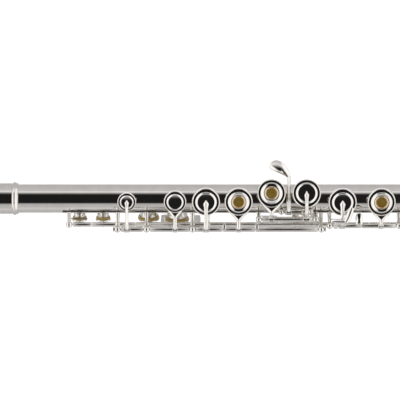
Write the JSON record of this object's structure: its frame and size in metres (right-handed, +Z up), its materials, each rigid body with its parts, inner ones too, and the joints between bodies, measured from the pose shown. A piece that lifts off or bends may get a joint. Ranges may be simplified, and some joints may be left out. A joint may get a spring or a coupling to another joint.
{
  "type": "concert flute",
  "caption": "Metal concert flute in three joints, with open-hole keys on hinge rods, sprung trill, thumb and pinky keys, a lip plate and a screw-set cork.",
  "frame": {"origin": "on the tube axis at the open end of the foot joint", "axes": "+X along the tube from head to foot, +Z up through the finger keys, +Y towards the listener's side, away from the key rods"},
  "size_m": [0.6595, 0.0569, 0.0375],
  "materials": {
    "silver": "polished silver plate",
    "steel": "satin",
    "blued_steel": "blued",
    "pad_skin": "smooth bladder skin over felt",
    "cork": "natural cork"
  },
  "bodies": {
    "body": {"body_tube": "silver", "barrel": "silver", "key_ribs": "silver", "key_posts": "silver", "steel_rods": "steel", "needle_springs": "blued_steel", "pivot_screws": "steel"},
    "head_joint": {"head_tube": "silver", "lip_plate": "silver", "embouchure_riser": "silver"},
    "crown": {"crown": "silver"},
    "stopper": {"cork": "cork", "stopper_screw": "steel"},
    "foot_joint": {"foot_tube": "silver", "foot_socket": "silver", "foot_rib": "silver", "foot_posts": "silver", "foot_steels": "steel", "foot_springs": "blued_steel"},
    "c_key": {"c_key": "silver", "csharp_pad": "pad_skin"},
    "bb_key": {"bb_key": "silver", "bb_pad": "pad_skin"},
    "a_key": {"a_key": "silver", "a_pad": "pad_skin"},
    "g_keys": {"g_keys": "silver", "g_pads": "pad_skin"},
    "gsharp_key": {"gsharp_key": "silver", "gsharp_pad": "pad_skin"},
    "thumb_b_key": {"thumb_b_key": "silver", "thumb_b_pad": "pad_skin"},
    "thumb_bb_lever": {"thumb_bb_lever": "silver"},
    "bb_side_lever": {"bb_side_lever": "silver"},
    "fsharp_key": {"fsharp_key": "silver", "fsharp_pad": "pad_skin"},
    "f_key": {"f_key": "silver", "f_pad": "pad_skin"},
    "e_key": {"e_key": "silver", "e_pad": "pad_skin"},
    "d_key": {"d_key": "silver", "d_pad": "pad_skin"},
    "d_trill_key": {"d_trill_key": "silver", "d_trill_pad": "pad_skin"},
    "dsharp_trill_key": {"dsharp_trill_key": "silver", "dsharp_trill_pad": "pad_skin"},
    "csharp_trill_key": {"csharp_trill_key": "silver", "csharp_trill_pad": "pad_skin"},
    "eb_key": {"eb_key": "silver", "eb_pad": "pad_skin"},
    "low_csharp_key": {"low_csharp_key": "silver", "low_csharp_pad": "pad_skin"},
    "low_c_key": {"low_c_key": "silver", "low_c_pad": "pad_skin"},
    "csharp_roller": {"csharp_roller": "silver"},
    "low_c_roller": {"low_c_roller": "silver"}
  },
  "joints": [
    {"name": "head_tuning_slide", "type": "slide", "parent": "body", "child": "head_joint", "axis": [-1, 0, 0], "range_m": [0, 0.012]},
    {"name": "foot_turn", "type": "hinge", "parent": "body", "child": "foot_joint", "pos_m": [-0.1305, 0, 0], "axis": [1, 0, 0], "range_deg": [-20, 20]},
    {"name": "crown_turn", "type": "hinge", "parent": "head_joint", "child": "crown", "pos_m": [-0.654, 0, 0], "axis": [1, 0, 0], "range_deg": [-360, 360]},
    {"name": "stopper_slide", "type": "slide", "parent": "head_joint", "child": "stopper", "axis": [1, 0, 0], "range_m": [-0.00081, 0.00081]},
    {"name": "c_key_press", "type": "hinge", "parent": "body", "child": "c_key", "pos_m": [-0.345, -0.0193, 0.013], "axis": [1, 0, 0], "range_deg": [-7.5, 0], "stiffness_Nm_per_rad": 0.02, "springref_deg": 11.46},
    {"name": "bb_key_press", "type": "hinge", "parent": "body", "child": "bb_key", "pos_m": [-0.316, -0.0193, 0.013], "axis": [1, 0, 0], "range_deg": [-7.5, 0], "stiffness_Nm_per_rad": 0.02, "springref_deg": 11.46},
    {"name": "a_key_press", "type": "hinge", "parent": "body", "child": "a_key", "pos_m": [-0.2943, -0.0193, 0.013], "axis": [1, 0, 0], "range_deg": [-7.5, 0], "stiffness_Nm_per_rad": 0.02, "springref_deg": 11.46},
    {"name": "g_keys_press", "type": "hinge", "parent": "body", "child": "g_keys", "pos_m": [-0.262, -0.0127, 0.0115], "axis": [1, 0, 0], "range_deg": [-7.5, 0], "stiffness_Nm_per_rad": 0.02, "springref_deg": 11.46},
    {"name": "gsharp_key_open", "type": "hinge", "parent": "body", "child": "gsharp_key", "pos_m": [-0.252, -0.008, 0.0096], "axis": [1, 0, 0], "range_deg": [-8, 0], "stiffness_Nm_per_rad": 0.02, "springref_deg": 11.46},
    {"name": "thumb_b_press", "type": "hinge", "parent": "body", "child": "thumb_b_key", "pos_m": [-0.345, -0.0198, 0.0084], "axis": [1, 0, 0], "range_deg": [0, 7], "stiffness_Nm_per_rad": 0.02, "springref_deg": -11.46},
    {"name": "thumb_bb_press", "type": "hinge", "parent": "body", "child": "thumb_bb_lever", "pos_m": [-0.322, -0.0198, 0.0084], "axis": [1, 0, 0], "range_deg": [0, 7], "stiffness_Nm_per_rad": 0.02, "springref_deg": -11.46},
    {"name": "bb_side_lever_press", "type": "hinge", "parent": "body", "child": "bb_side_lever", "pos_m": [-0.23, -0.0171, 0.011], "axis": [1, 0, 0], "range_deg": [-5, 0], "stiffness_Nm_per_rad": 0.02, "springref_deg": 11.46},
    {"name": "fsharp_key_press", "type": "hinge", "parent": "body", "child": "fsharp_key", "pos_m": [-0.2251, -0.0171, 0.011], "axis": [1, 0, 0], "range_deg": [-7.5, 0], "stiffness_Nm_per_rad": 0.02, "springref_deg": 11.46},
    {"name": "f_key_press", "type": "hinge", "parent": "body", "child": "f_key", "pos_m": [-0.1992, -0.0171, 0.011], "axis": [1, 0, 0], "range_deg": [-7.5, 0], "stiffness_Nm_per_rad": 0.02, "springref_deg": 11.46},
    {"name": "e_key_press", "type": "hinge", "parent": "body", "child": "e_key", "pos_m": [-0.1715, -0.0171, 0.011], "axis": [1, 0, 0], "range_deg": [-7.5, 0], "stiffness_Nm_per_rad": 0.02, "springref_deg": 11.46},
    {"name": "d_key_press", "type": "hinge", "parent": "body", "child": "d_key", "pos_m": [-0.1422, -0.0171, 0.011], "axis": [1, 0, 0], "range_deg": [-7.5, 0], "stiffness_Nm_per_rad": 0.02, "springref_deg": 11.46},
    {"name": "d_trill_open", "type": "hinge", "parent": "body", "child": "d_trill_key", "pos_m": [-0.3851, -0.0169, 0.006], "axis": [1, 0, 0], "range_deg": [-10, 0], "stiffness_Nm_per_rad": 0.02, "springref_deg": 11.46},
    {"name": "dsharp_trill_open", "type": "hinge", "parent": "body", "child": "dsharp_trill_key", "pos_m": [-0.4009, -0.0169, 0.006], "axis": [1, 0, 0], "range_deg": [-10, 0], "stiffness_Nm_per_rad": 0.02, "springref_deg": 11.46},
    {"name": "csharp_trill_open", "type": "hinge", "parent": "body", "child": "csharp_trill_key", "pos_m": [-0.3546, -0.0169, 0.006], "axis": [1, 0, 0], "range_deg": [-10, 0], "stiffness_Nm_per_rad": 0.02, "springref_deg": 11.46},
    {"name": "eb_key_open", "type": "hinge", "parent": "foot_joint", "child": "eb_key", "pos_m": [-0.1111, -0.0171, 0.011], "axis": [1, 0, 0], "range_deg": [0, 8], "stiffness_Nm_per_rad": 0.02, "springref_deg": -11.46},
    {"name": "low_csharp_press", "type": "hinge", "parent": "foot_joint", "child": "low_csharp_key", "pos_m": [-0.0782, -0.0171, 0.011], "axis": [1, 0, 0], "range_deg": [-7.5, 0], "stiffness_Nm_per_rad": 0.02, "springref_deg": 11.46},
    {"name": "low_c_press", "type": "hinge", "parent": "foot_joint", "child": "low_c_key", "pos_m": [-0.0434, -0.0206, 0.0072], "axis": [1, 0, 0], "range_deg": [-7.5, 0], "stiffness_Nm_per_rad": 0.02, "springref_deg": 11.46},
    {"name": "csharp_roller_spin", "type": "hinge", "parent": "low_csharp_key", "child": "csharp_roller", "pos_m": [-0.0976, -0.01013, 0.01817], "axis": [0, 0.9914, 0.1305], "continuous": true},
    {"name": "low_c_roller_spin", "type": "hinge", "parent": "low_c_key", "child": "low_c_roller", "pos_m": [-0.0914, -0.01065, 0.0186], "axis": [0, 0.9914, 0.1305], "continuous": true}
  ],
  "couplings": [
    {"joint": "stopper_slide", "follows": "crown_turn", "m_per_rad": 0.00012732},
    {"joint": "bb_key_press", "follows": "a_key_press", "ratio": 1},
    {"joint": "fsharp_key_press", "follows": "f_key_press", "ratio": 1}
  ]
}
